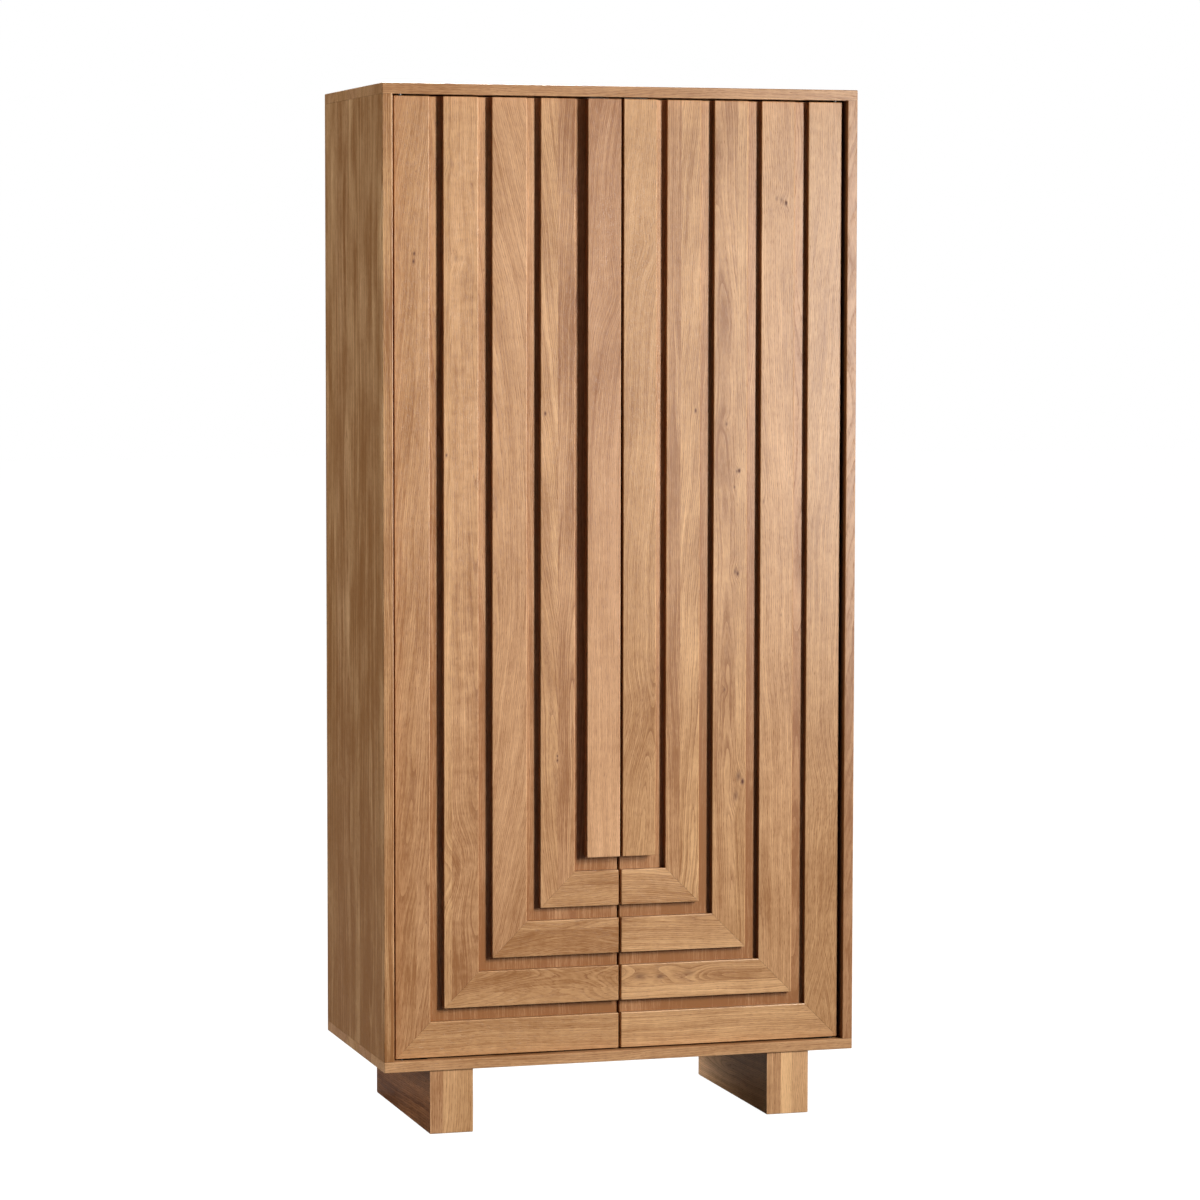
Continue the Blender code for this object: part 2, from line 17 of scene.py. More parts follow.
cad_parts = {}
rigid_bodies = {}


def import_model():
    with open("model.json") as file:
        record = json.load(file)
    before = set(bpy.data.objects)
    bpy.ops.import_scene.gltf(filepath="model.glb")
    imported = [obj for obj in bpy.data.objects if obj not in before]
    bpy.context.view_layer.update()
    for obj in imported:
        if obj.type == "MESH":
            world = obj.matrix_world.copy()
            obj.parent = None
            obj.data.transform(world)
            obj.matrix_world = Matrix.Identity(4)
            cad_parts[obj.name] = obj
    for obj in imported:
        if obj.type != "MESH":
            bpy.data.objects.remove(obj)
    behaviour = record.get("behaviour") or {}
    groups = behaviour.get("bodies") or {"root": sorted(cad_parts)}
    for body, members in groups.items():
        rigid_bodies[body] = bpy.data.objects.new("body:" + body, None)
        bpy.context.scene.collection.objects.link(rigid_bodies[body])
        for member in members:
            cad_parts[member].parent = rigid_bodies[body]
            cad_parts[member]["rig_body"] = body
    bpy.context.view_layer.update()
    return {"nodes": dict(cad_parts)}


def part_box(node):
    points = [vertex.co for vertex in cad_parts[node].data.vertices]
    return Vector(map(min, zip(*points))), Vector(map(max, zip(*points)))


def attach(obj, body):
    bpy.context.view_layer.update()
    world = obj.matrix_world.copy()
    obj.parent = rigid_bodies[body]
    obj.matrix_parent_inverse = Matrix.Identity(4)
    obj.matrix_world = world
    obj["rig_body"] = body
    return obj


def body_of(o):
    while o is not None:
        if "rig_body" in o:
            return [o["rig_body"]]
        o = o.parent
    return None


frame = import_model()
print("Nodes:", len(frame["nodes"]))

# %% [markdown]
# ## Camera
#
# The cabinet is seen from a little to its left, from about the height of a person's chest, with a
# long lens, so its upright edges stay almost parallel. A shifted lens would keep them quite
# parallel, but then the cabinet would leave the middle of the picture in a view from another side.
# So the camera looks a few degrees down at the middle of the cabinet instead. The place, the turn
# and the focal length were solved from the corners of the case, whose size is known.

# %% Set up the camera
SENSOR = 36.0
FOCAL_LENGTH = 123.85
CAMERA_PLACE = Vector((-2.1924, -7.4225, 1.5258))
CAMERA_YAW = math.radians(16.631)
CAMERA_PITCH = math.radians(-4.244)
CAMERA_ROLL = math.radians(0.091)


def camera_turn(yaw, pitch, roll):
    """Rotation of a camera facing +Y, turned right by yaw, up by pitch and about its own axis."""
    reach = math.cos(pitch)
    ahead = Vector((math.sin(yaw) * reach, math.cos(yaw) * reach, math.sin(pitch)))
    level = Vector((math.cos(yaw), -math.sin(yaw), 0.0))
    upright = level.cross(ahead)
    right = math.cos(roll) * level + math.sin(roll) * upright
    up = math.cos(roll) * upright - math.sin(roll) * level
    return Matrix((right, up, -ahead)).transposed()


camera = bpy.data.objects.new("camera", bpy.data.cameras.new("camera"))
bpy.context.scene.collection.objects.link(camera)
camera.data.sensor_width = SENSOR
camera.data.lens = FOCAL_LENGTH
camera.matrix_world = (
    Matrix.Translation(CAMERA_PLACE) @ camera_turn(CAMERA_YAW, CAMERA_PITCH, CAMERA_ROLL).to_4x4()
)
bpy.context.scene.camera = camera
print("Camera at", tuple(CAMERA_PLACE), "with a lens of", FOCAL_LENGTH, "mm")

# %% [markdown]
# ## Writing a shader as arithmetic
#
# Wood is a solid pattern: the same rings run through a board and come out on each of its faces.
# That is easiest to say as a formula on the place of a point. A class that wraps a socket and
# answers to +, -, * and / lets the formula be written as it is thought, and adds the nodes itself.


# %% A term of a shader's formula
class Term:
    """An output socket with arithmetic: each operator adds a Math node and returns its output."""

    def __init__(self, tree, socket):
        self.tree = tree
        self.socket = socket

    def node(self, kind, settings, inputs, output=0):
        """Adds a node: first its settings, then the value or the link of each socket named."""
        made = self.tree.nodes.new(kind)
        for name, value in settings.items():
            setattr(made, name, value)
        for name, value in inputs.items():
            if isinstance(value, Term):
                self.tree.links.new(value.socket, made.inputs[name])
            else:
                made.inputs[name].default_value = value
        return Term(self.tree, made.outputs[output])

    def math(self, operation, *values):
        """A Math node of this term and the values."""
        inputs = dict(enumerate((self, *values)))
        return self.node("ShaderNodeMath", {"operation": operation}, inputs)

    def __add__(self, other):
        return self.math("ADD", other)

    __radd__ = __add__

    def __sub__(self, other):
        return self.math("SUBTRACT", other)

    def __rsub__(self, other):
        return self.node("ShaderNodeMath", {"operation": "SUBTRACT"}, {0: other, 1: self})

    def __mul__(self, other):
        return self.math("MULTIPLY", other)

    __rmul__ = __mul__

    def __truediv__(self, other):
        return self.math("DIVIDE", other)

    def __pow__(self, other):
        return self.math("POWER", other)

    def above(self, limit):
        """1 where the term is above the limit, otherwise 0."""
        return self.math("GREATER_THAN", limit)

    def between(self, low, high):
        """Rises smoothly from 0 at low to 1 at high."""
        settings = {"interpolation_type": "SMOOTHSTEP"}
        inputs = {"Value": self, "From Min": low, "From Max": high}
        return self.node("ShaderNodeMapRange", settings, inputs)

    def parts(self):
        """The three numbers of a vector or colour."""
        first = self.node("ShaderNodeSeparateXYZ", {}, {"Vector": self})
        outputs = first.socket.node.outputs
        return [Term(self.tree, output) for output in outputs]

    def mixed(self, one, other, beyond=False):
        """A colour between two, with this term as the share of the second, or beyond if asked."""
        inputs = {"Factor": self, "A": one, "B": other}
        made = self.tree.nodes.new("ShaderNodeMix")
        made.data_type = "RGBA"
        made.clamp_factor = not beyond
        sockets = {socket.name: socket for socket in made.inputs if socket.enabled}
        for name, value in inputs.items():
            if isinstance(value, Term):
                self.tree.links.new(value.socket, sockets[name])
            else:
                sockets[name].default_value = value
        return Term(self.tree, next(socket for socket in made.outputs if socket.enabled))


print("A term answers to + - * / and **")

# %% [markdown]
# ## Noise that follows the grain
#
# Nearly everything in a board is drawn out along its grain: pores, fibres, streaks of colour. One
# helper makes them all. It squeezes space along the grain far less than across it before it
# reads the noise, so each blot of the noise becomes a long thin mark.

# %% Noise drawn out along the grain
NOISE_ROUGHNESS = 0.55


def grain_noise(length, width, depth, along, across, detail=1.0, shift=0.0):
    """Noise with `along` blots a metre along the grain and `across` blots a metre across it.

    It comes out as a number about 0, from -0.5 to 0.5.
    """
    places = {0: length * along + shift, 1: width * across, 2: depth * across}
    vector = length.node("ShaderNodeCombineXYZ", {}, places)
    noise = {"Vector": vector, "Scale": 1.0, "Detail": detail, "Roughness": NOISE_ROUGHNESS}
    return vector.node("ShaderNodeTexNoise", {}, noise) - 0.5


print("Grain noise is ready")

# %% [markdown]
# ## Oak
#
# A tree lays down a ring a year. In oak each ring starts with a band of wide open pores and ends
# in dense brown wood. A board shows the rings as straight lines where they cut its face steeply,
# and as nested arches where they lie almost flat in it. So the pattern needs only the distance
# from the heart of the tree, taken for a heart line that wanders a little along the board.
#
# The boards of this cabinet are glued up from staves, and each stave is from another part of the
# tree. So each stave has its own heart line, lightness and warmth, and the seams are where they
# change. Its fibres seldom run quite along the board, so a stave has a slant too.

# %% What oak is made of
RING = 0.0034
SEAM_HALF = 0.00016
# Turns of the heart line in a metre, and how far it strays across the board and through it
TURNS = 2.1
STRAY = 0.034
HEAVE = 0.020
# Each kind of mark: its blots a metre along the grain and across it, and its layers of detail
RIPPLES = (13, 26, 2.0)
CLOUDS = (4.5, 13, 2.0)
STREAKS = (3.4, 150, 2.0)
LINES = (18, 640, 1.0)
FIBRES = (64, 620, 1.0)
SILVER_MARKS = (62, 34, 2.0)
PORES = (110, 1500, 0.0)
# How far a ripple pushes the fibres, and the noise from which and to which a pore opens
RIPPLE = 0.0046
PORE_FROM, PORE_TO = 0.56, 0.72
# A painted highlight for the light on an eased edge lies between these distances from the edge; a
# strip's side face, darkened as painted shade of its groove, is this thin
EDGE_FROM, EDGE_TO = 0.0024, 0.0010
PAINTED_EDGE_HIGHLIGHT = 0.22
SHADED_FLANK_BAND = 0.0002
GROOVE_SHADE_DROP = 0.50
# A tone over 1 goes on past pale oak, up to here
PALEST = 1.5
# Roughness of an oiled face
OILED = 0.33
# Deep and pale oak, and then deep and pale oak where it is pinkish
OAK_WOOD = (
    (0.310, 0.130, 0.041, 1.0),
    (0.710, 0.412, 0.198, 1.0),
    (0.310, 0.124, 0.052, 1.0),
    (0.690, 0.385, 0.215, 1.0),
)
KNOT_BROWN = (0.100, 0.020, 0.003, 1.0)
# Endings of the strips, whose side faces in the grooves get a darker tone as painted shade
STRIPS = ("_pull_strip", "_1", "_2", "_3", "_4")


class Stave:
    """One stave of a board: its share of the width, its tone and how the tree lies in it.

    The tone is 0 in deep oak and 1 in pale oak, fade is how much it grows for each metre along,
    and rose is 1 in pinkish wood. The heart is given in metres across the board and below its
    middle, and tilt is how fast it comes nearer along the grain. The slant is how far the fibres
    drift across for each metre along, and the bend is how much the slant grows along the board.
    The line is the tone that a glue line before it adds, the figure is how strongly the rings and
    streaks show, and the silver is how strongly the marks across the grain do.
    """

    def __init__(
        self,
        share,
        tone,
        rose=0.3,
        heart=None,
        sunk=None,
        slant=None,
        tilt=None,
        fade=0.0,
        line=-0.30,
        figure=1.0,
        bend=0.0,
        silver=0.30,
    ):
        self.share = share
        self.tone = tone
        self.rose = rose
        self.heart = heart
        self.sunk = sunk
        self.slant = slant
        self.tilt = tilt
        self.fade = fade
        self.line = line
        self.figure = figure
        self.bend = bend
        self.silver = silver

    def settle(self, chance):
        """Draws what wasn't given."""
        side = chance.choice((-1.0, 1.0))
        drawn = {
            "heart": side * chance.uniform(0.02, 0.10),
            "sunk": chance.uniform(0.015, 0.060),
            "slant": chance.uniform(-0.035, 0.035),
            "tilt": chance.uniform(-0.020, 0.020),
        }
        for name, value in drawn.items():
            if getattr(self, name) is None:
                setattr(self, name, float(value))


def random_staves(chance, count):
    """Staves of uneven width and tone for a board that isn't in view."""
    widths = chance.uniform(0.7, 1.3, count)
    return [
        Stave(width / widths.sum(), 0.5 + chance.uniform(-0.1, 0.1), chance.uniform(0.0, 0.7))
        for width in widths
    ]


print("A year's ring is", RING * 1000, "mm wide")


# %% The place of a point in its tree
def object_place(tree):
    """The place of a point on x, y and z, from the floor under the middle of the cabinet."""
    return Term(tree, tree.nodes.new("ShaderNodeTexCoord").outputs["Object"]).parts()


def board_place(name, axes, tree):
    """Distances of a point from the board's middle, along, across and through it, and its sizes."""
    low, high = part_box(name)
    numbers = ["XYZ".index(letter) for letter in axes]
    place = object_place(tree)
    middles = [(low[number] + high[number]) / 2 for number in numbers]
    sizes = [high[number] - low[number] for number in numbers]
    return [place[number] - middle for number, middle in zip(numbers, middles)], sizes


class Picker:
    """Picks the value of the stave that a point is in."""

    def __init__(self, width, breadth, staves):
        shares = np.cumsum([stave.share for stave in staves])
        self.seams = [float(share / shares[-1] - 0.5) * breadth for share in shares[:-1]]
        self.middles = [
            float((share - stave.share / 2) / shares[-1] - 0.5) * breadth
            for share, stave in zip(shares, staves)
        ]
        self.steps = [width.above(seam) for seam in self.seams]
        self.width = width

    def __call__(self, values):
        picked = values[0]
        for step, before, after in zip(self.steps, values, values[1:]):
            if after != before:
                picked = step * (after - before) + picked
        return picked

    def lines(self, tones):
        """The tone that the glue lines before the second stave and each one after it add."""
        marks = 0.0
        for seam, tone in zip(self.seams, tones):
            marks = self.width.math("COMPARE", seam, SEAM_HALF) * tone + marks
        return marks


print("A point can be placed in its board, its stave and its tree")


# %% A new material, and what varies over it
def new_material(title):
    """An empty material, and its shader."""
    material = bpy.data.materials.new(title)
    material.use_nodes = True
    return material, material.node_tree.nodes["Principled BSDF"]


def set_finish(shader, colour, rough, height, strength, distance):
    """Links colour, roughness and relief to a shader: the three things that vary over a piece."""
    inputs = {"Height": height, "Strength": strength, "Distance": distance}
    bump = height.node("ShaderNodeBump", {}, inputs)
    links = colour.tree.links
    links.new(colour.socket, shader.inputs["Base Color"])
    links.new(rough.socket, shader.inputs["Roughness"])
    links.new(bump.socket, shader.inputs["Normal"])


print("Colour, roughness and relief can be linked")


# %% The swirls of the knots
# How much longer than wide a knot is, how far its swirl swells the rings and parts the fibres,
# and how fast the swirl and the dark core fade with the distance squared
KNOT_LENGTH = 1.9
KNOT_SWELL = 1.4
KNOT_PARTING = 0.55
SWIRL_FADE = 0.14
CORE_FADE = 1.6


def swirled(length, width, radius, flow, knots):
    """The radius and the flow of the fibres with the knots in them, and how dark their cores are.

    A knot's swirl is exp(-SWIRL_FADE * d^2) and its core exp(-CORE_FADE * d^2), where d is the
    distance from the knot in sizes of the knot, which is KNOT_LENGTH times as long as it's wide.
    """
    dark = 0.0
    for place, across, size, darkness in knots:
        run = (length - place) / (size * KNOT_LENGTH)
        over = (width - across) / size
        apart = run * run + over * over
        swirl = (apart * -SWIRL_FADE).math("EXPONENT")
        radius = swirl * (size * KNOT_SWELL) + radius
        flow = swirl * over * (-size * KNOT_PARTING) + flow
        if darkness:
            dark = (apart * -CORE_FADE).math("EXPONENT") * darkness + dark
    return radius, flow, dark


print("A knot is", KNOT_LENGTH, "times as long as it is wide")


# %% The rings, pores and streaks of one board
def oak(name, axes, staves, knots, chance, wood):
    """A material of oak for one board.

    A point lies at radius = sqrt(u^2 + v^2) from its stave's heart line, where u is across the
    board and v through it. The ring is radius / RING: its whole part numbers the year, and its
    fraction runs from the porous spring wood at 0 to the dense summer wood at 1. Streaks of
    colour follow the rings, and the fibres and pores follow the heart line.
    """
    material, shader = new_material(f"oak_{name}")
    tree = material.node_tree
    (length, width, depth), (_, breadth, thickness) = board_place(name, axes, tree)
    pick = Picker(width, breadth, staves)
    for stave in staves:
        stave.settle(chance)
    shift = pick([float(number) for number in chance.uniform(0, 90, len(staves))])

    settings = {"noise_dimensions": "2D"}
    along = length.node("ShaderNodeCombineXYZ", {}, {0: length * TURNS, 1: shift})
    noise = {"Vector": along, "Scale": 1.0, "Detail": 2.0}
    sway, heave, _ = length.node("ShaderNodeTexNoise", settings, noise, 1).parts()
    bend = length * pick([stave.bend for stave in staves])
    slant = bend + pick([stave.slant for stave in staves])
    drift = length * slant + (sway - 0.5) * STRAY
    ripple = grain_noise(length, width, depth, *RIPPLES, shift)
    flow = width + drift + ripple * RIPPLE

    hearts = [middle + stave.heart for middle, stave in zip(pick.middles, staves)]
    tilt = pick([stave.tilt for stave in staves])
    u = flow - pick(hearts)
    v = depth + pick([stave.sunk for stave in staves]) + length * tilt + (heave - 0.5) * HEAVE
    radius = (u * u + v * v) ** 0.5
    radius, flow, knot_dark = swirled(length, width, radius, flow, knots)

    ring = radius / RING
    fraction = ring.math("FRACT")
    number = {"W": ring.math("FLOOR") + shift}
    year = ring.node("ShaderNodeTexWhiteNoise", {"noise_dimensions": "1D"}, number)
    spring = (1 - fraction) ** 3.0

    cloud = grain_noise(length, flow, depth, *CLOUDS, shift)
    streak = grain_noise(length, radius, 0.0, *STREAKS, shift)
    line = grain_noise(length, radius, 0.0, *LINES, shift)
    fibre = grain_noise(length, flow, depth, *FIBRES, shift)
    silver = grain_noise(length, flow, depth, *SILVER_MARKS, shift)
    prick = grain_noise(length, flow, depth, *PORES) + 0.5
    pore = prick.between(PORE_FROM, PORE_TO) * (0.3 + spring)

    figure = pick([stave.figure for stave in staves])
    tone = (
        pick([stave.tone for stave in staves])
        + length * pick([stave.fade for stave in staves])
        + (cloud * 0.95 + streak * 0.80 + (year - 0.5) * 0.24 - spring * 0.30) * figure
        + silver * pick([stave.silver for stave in staves])
        + line * 0.60
        + fibre * 0.62
        - pore * 0.45
    )
    if len(staves) > 1:
        tone = tone + pick.lines([stave.line for stave in staves[1:]])
    side, face = breadth / 2, thickness / 2
    near_side = width.math("ABSOLUTE").between(side - EDGE_FROM, side - EDGE_TO)
    near_face = depth.math("ABSOLUTE").between(face - EDGE_FROM, face - EDGE_TO)
    # Painted highlight: the eased edges are made paler, where the light catches them
    tone = tone + near_side * near_face * PAINTED_EDGE_HIGHLIGHT
    # Painted shade: the strips' side faces, deep in the grooves, are darkened
    if name.endswith(STRIPS):
        shaded_flank = width.math("ABSOLUTE").above(side - SHADED_FLANK_BAND)
        tone = tone - shaded_flank * GROOVE_SHADE_DROP
    tone = tone.math("MAXIMUM", 0.0).math("MINIMUM", PALEST)

    deep, pale, deep_rose, pale_rose = wood
    rose = cloud * 0.4 - 0.10 + pick([stave.rose for stave in staves])
    colour = tone.mixed(rose.mixed(deep, deep_rose), rose.mixed(pale, pale_rose), beyond=True)
    rough = OILED + spring * 0.05 + pore * 0.15 + streak * 0.10
    if any(darkness for *_, darkness in knots):
        colour = (knot_dark * (fraction * 0.35 + 0.75)).mixed(colour, KNOT_BROWN)
        rough = rough + knot_dark * 0.20
    relief = fibre * 0.5 - pore - spring * 0.25
    set_finish(shader, colour, rough, relief, strength=0.45, distance=0.00018)
    return material


print("The oak is ready")

# %% [markdown]
# ## Which way the grain runs, and the staves of each board
#
# A joiner runs the grain along a board: up the stiles, sides and doors, and across the rails,
# shelves, top and bottom. The staves of the boards that face the viewer are listed one by one, and
# the hidden ones are drawn by chance from a fixed seed.

# %% Staves of the boards in view
UPRIGHT_FRONT = "ZXY"
LEVEL_FRONT = "XZY"
UPRIGHT_SIDE = "ZYX"
LEVEL_FLAT = "XYZ"
LEVEL_SIDE = "YZX"

FRONT_STAVES = {
    "left_door_stile_1": [
        Stave(0.60, 0.46, 0.3, 0.05, 0.03, -0.10, fade=0.09, figure=0.8),
        Stave(0.40, 0.51, 0.4, 0.05, 0.03, -0.08, fade=0.09, line=0.0, figure=0.8),
    ],
    "left_door_stile_2": [
        Stave(0.22, 0.69, 0.2),
        Stave(0.78, 0.62, 0.40, 0.02, 0.02, 0.0, fade=0.31, line=0.10, figure=0.9, silver=0.65),
    ],
    "left_door_stile_3": [
        Stave(1.0, 0.61, 0.5, -0.03, 0.03, -0.01, 0.04, fade=0.06, figure=0.8, bend=0.17)
    ],
    "left_door_stile_4": [
        Stave(0.50, 0.66, 0.3, -0.04, 0.03, 0.10, figure=1.2),
        Stave(0.50, 0.49, 0.5, line=-0.10, figure=1.5, fade=-0.06),
    ],
    "left_door_pull_strip": [
        Stave(1.0, 0.60, 0.7, 0.06, 0.02, -0.053, fade=-0.46, figure=0.9, bend=-0.067)
    ],
    "right_door_pull_strip": [
        Stave(1.0, 0.57, 0.1, 0.045, 0.025, -0.06, 0.02, fade=0.16, figure=0.8)
    ],
    "right_door_stile_4": [
        Stave(0.42, 0.40, 0.3, 0.06, 0.03, 0.02, fade=-0.05, figure=1.3),
        Stave(0.58, 0.62, 0.1, 0.04, 0.02, -0.06, fade=-0.05, line=0.05, figure=1.3),
    ],
    "right_door_stile_3": [
        Stave(0.68, 0.49, 0.2, 0.0, 0.025, 0.02, fade=0.05, figure=1.2),
        Stave(0.32, 0.56, 0.0, fade=0.05, line=0.10, figure=1.1),
    ],
    "right_door_stile_2": [Stave(1.0, 0.61, 0.3, -0.05, 0.03, 0.02, fade=0.05, figure=0.9)],
    "right_door_stile_1": [Stave(1.0, 0.55, 0.0, 0.045, 0.02, -0.05, 0.02, fade=0.05, figure=0.75)],
    "left_door_rail_1": [Stave(1.0, 0.54, -0.2, figure=0.6)],
    "left_door_rail_2": [
        Stave(0.40, 0.51, -0.2, figure=0.5),
        Stave(0.60, 0.41, -0.2, 0.01, 0.016, 0.05, figure=0.8),
    ],
    "left_door_rail_3": [Stave(0.74, 0.24, -0.2, figure=0.6), Stave(0.26, 0.46, -0.1, figure=0.7)],
    "left_door_rail_4": [Stave(0.60, 0.54, 0.0, figure=0.6), Stave(0.40, 0.42, 0.0, figure=0.8)],
    "right_door_rail_1": [Stave(1.0, 0.74, -0.2, figure=1.3)],
    "right_door_rail_2": [
        Stave(0.42, 0.88, -0.3, figure=1.2),
        Stave(0.58, 0.58, -0.3, 0.0, 0.02, figure=1.2),
    ],
    "right_door_rail_3": [Stave(1.0, 0.63, -0.2, figure=1.2)],
    "right_door_rail_4": [Stave(1.0, 0.58, 0.1, figure=1.2)],
    "left_foot_front_board": [Stave(0.30, 0.60, 0.6), Stave(0.70, 0.79, 0.2, figure=0.8)],
    "right_foot_front_board": [
        Stave(0.34, 0.60, 0.4, 0.08, 0.02, 0.0),
        Stave(0.26, 1.40, 0.1, 0.05, 0.02, 0.10, line=0.0, figure=0.7),
        Stave(0.40, 1.00, 0.3, 0.05, 0.03, 0.06, line=0.0),
    ],
    "left_foot_outer_board": [
        Stave(0.52, 0.30, 0.3),
        Stave(0.48, 0.62, 0.0, 0.0, 0.01, 0.05, 0.05),
    ],
    "right_foot_inner_board": [Stave(1.0, 0.76, 0.6, 0.0, 0.02, 0.05, 0.05, figure=1.3)],
    "left_side_panel": [
        Stave(share, tone, rose, fade=0.20, figure=1.7)
        for share, tone, rose in (
            (0.19, 0.34, 0.0),
            (0.22, 0.29, 0.1),
            (0.17, 0.37, 0.0),
            (0.23, 0.32, 0.2),
            (0.19, 0.36, 0.0),
        )
    ],
    "right_side_panel": [
        Stave(share, tone, rose, fade=0.10, figure=0.6)
        for share, tone, rose in (
            (0.22, 0.33, 0.5),
            (0.19, 0.40, 0.2),
            (0.23, 0.36, 0.1),
            (0.17, 0.42, 0.3),
            (0.19, 0.37, 0.0),
        )
    ],
    "top_panel": [
        Stave(0.20, 0.46, 0.3, slant=0.01, fade=0.15, figure=0.8),
        Stave(0.22, 0.55, 0.2),
        Stave(0.17, 0.48, 0.4),
        Stave(0.22, 0.52, 0.1),
        Stave(0.19, 0.46, 0.3),
    ],
    "left_door_panel": [
        Stave(0.24, 0.33, 0.3, fade=0.30),
        Stave(0.18, 0.37, 0.4, fade=0.30),
        Stave(0.21, 0.41, 0.4, fade=0.32),
        Stave(0.19, 0.39, 0.5, fade=0.36),
        Stave(0.18, 0.38, 0.4, fade=0.34),
    ],
    "right_door_panel": [
        Stave(0.19, 0.45, 0.4, fade=0.34),
        Stave(0.22, 0.22, 0.3, fade=0.32),
        Stave(0.17, 0.22, 0.4, fade=0.28),
        Stave(0.20, 0.28, 0.4, fade=0.28),
        Stave(0.22, 0.31, 0.4, fade=0.20),
    ],
}
print("Boards set by eye:", len(FRONT_STAVES))

# %% [markdown]
# ## Knots
#
# A knot is where a branch left the trunk. The rings swell round it, and its own core is dark. An
# eye of swirling grain without a dark core marks a branch that lies just under the face.

# %% Knots of the boards in view
# Each knot: its place along and across the board from its middle, its size, and how dark it is
KNOTS = {
    "left_door_stile_1": [
        (0.588, 0.0045, 0.0024, 1.2),
        (0.574, 0.0032, 0.0026, 1.1),
        (0.735, 0.0080, 0.0014, 0.7),
    ],
    "left_door_stile_2": [
        (0.707, -0.018, 0.0050, 0.30),
        (0.536, -0.010, 0.0045, 0.35),
        (0.536, 0.001, 0.0035, 0.25),
        (0.182, -0.0273, 0.0020, 1.0),
        (-0.545, 0.004, 0.011, 0.0),
        (-0.595, -0.016, 0.010, 0.0),
    ],
    "left_door_stile_4": [
        (0.1675, -0.024, 0.0026, 1.2),
        (-0.458, -0.0008, 0.0018, 1.1),
        (-0.466, -0.0005, 0.0020, 1.1),
    ],
    "left_door_pull_strip": [(0.33, 0.024, 0.014, 0.0)],
    "right_door_pull_strip": [(0.42, 0.028, 0.012, 0.20), (-0.43, -0.004, 0.016, 0.0)],
    "right_door_stile_1": [(-0.43, 0.008, 0.024, 0.0), (-0.66, 0.004, 0.030, 0.0)],
    "right_door_stile_2": [
        (0.6396, 0.0150, 0.0030, 1.5),
        (0.6450, 0.0060, 0.0034, 0.7),
        (0.6475, -0.0035, 0.0028, 0.6),
        (0.337, -0.0280, 0.0025, 0.4),
        (0.0905, -0.0260, 0.0028, 0.6),
        (-0.120, 0.0090, 0.0020, 0.6),
    ],
    "right_door_stile_3": [
        (0.190, -0.0080, 0.0026, 0.9),
        (0.104, 0.0172, 0.0026, 1.5),
        (0.103, 0.0125, 0.0024, 0.7),
        (0.074, 0.0080, 0.0018, 1.0),
        (-0.086, 0.0150, 0.0028, 1.1),
        (-0.082, 0.0100, 0.0032, 0.8),
        (-0.300, -0.0100, 0.0022, 0.7),
        (-0.472, 0.0260, 0.0030, 1.5),
        (-0.462, 0.0180, 0.0050, 0.7),
        (-0.498, 0.0130, 0.0060, 0.5),
    ],
    "right_door_stile_4": [(0.171, 0.0235, 0.0026, 1.1)],
    "right_door_rail_2": [
        (-0.130, 0.010, 0.008, 0.6),
        (-0.090, 0.008, 0.006, 0.7),
        (-0.035, 0.012, 0.007, 0.45),
    ],
    "left_door_rail_2": [(0.02, 0.012, 0.020, 0.0), (0.12, 0.016, 0.016, 0.0)],
    "left_door_rail_3": [(0.02, -0.020, 0.018, 0.0)],
}
print("Boards with knots:", len(KNOTS))

# %% [markdown]
# ## A material for each board
#
# One material for all the boards would be simpler, but then the rings would run on from one board
# into the next, as if the whole cabinet were carved from one trunk. So each board gets its own,
# with its own draws from a seed that is numbered by its name's place in the sorted list. The outer
# board of the left foot gets darker colours: partly darker wood, and partly painted shade for the
# shade under the case's overhang.

# %% Give every board its oak
SEED = 20
# The four colours of the left foot's outer board, darker wood and painted shade, in the order of
# OAK_WOOD
DARK_AND_SHADED_WOOD = (
    (0.115, 0.038, 0.013, 1.0),
    (0.460, 0.192, 0.074, 1.0),
    (0.120, 0.037, 0.014, 1.0),
    (0.455, 0.185, 0.076, 1.0),
)
BOTTOM_STAVES = 5
BACK_STAVES = 8
SHELF_STAVES = 4
OAK_ENDINGS = ("_panel", "_shelf", "_board", *STRIPS)


def grain_of(name):
    """The axes along the grain, across it and through the board, by the kind of board."""
    if "rail" in name:
        return LEVEL_FRONT
    if name in ("left_side_panel", "right_side_panel"):
        return UPRIGHT_SIDE
    if name.endswith(("foot_inner_board", "foot_outer_board")):
        return LEVEL_SIDE
    if name.endswith("shelf") or name in ("top_panel", "bottom_panel"):
        return LEVEL_FLAT
    return UPRIGHT_FRONT


def stave_count(name):
    """How many staves a board that isn't in view is glued up from."""
    counts = {"bottom_panel": BOTTOM_STAVES, "back_panel": BACK_STAVES}
    return counts.get(name, SHELF_STAVES if name.endswith("_shelf") else 1)


boards = sorted(name for name in frame["nodes"] if name.endswith(OAK_ENDINGS))
for number, name in enumerate(boards):
    chance = np.random.default_rng(SEED + number)
    staves = FRONT_STAVES.get(name) or random_staves(chance, stave_count(name))
    # The left foot's outer board takes darker colours: darker wood, and painted shade under the
    # overhang
    wood = DARK_AND_SHADED_WOOD if name == "left_foot_outer_board" else OAK_WOOD
    material = oak(name, grain_of(name), staves, KNOTS.get(name, ()), chance, wood)
    frame["nodes"][name].material_slots[0].material = material
print("Boards of oak:", len(boards))

# %% [markdown]
# ## Metal and moulded finishes
#
# The hinge leaves are steel, rubbed along their length until they have a satin face, and made
# nearly black as painted shade, so that they don't show in the dark gap over the doors. The catches
# keep bare steel.
# The shelf pins and the strike plates are nickel plated, so they are brighter and smoother.
# Rubbed metal owes its look to its roughness, which changes in thin lines along the rub, and not
# to its colour. The shells of the catches are moulded: pale, slightly cloudy, with a faint
# eggshell face.


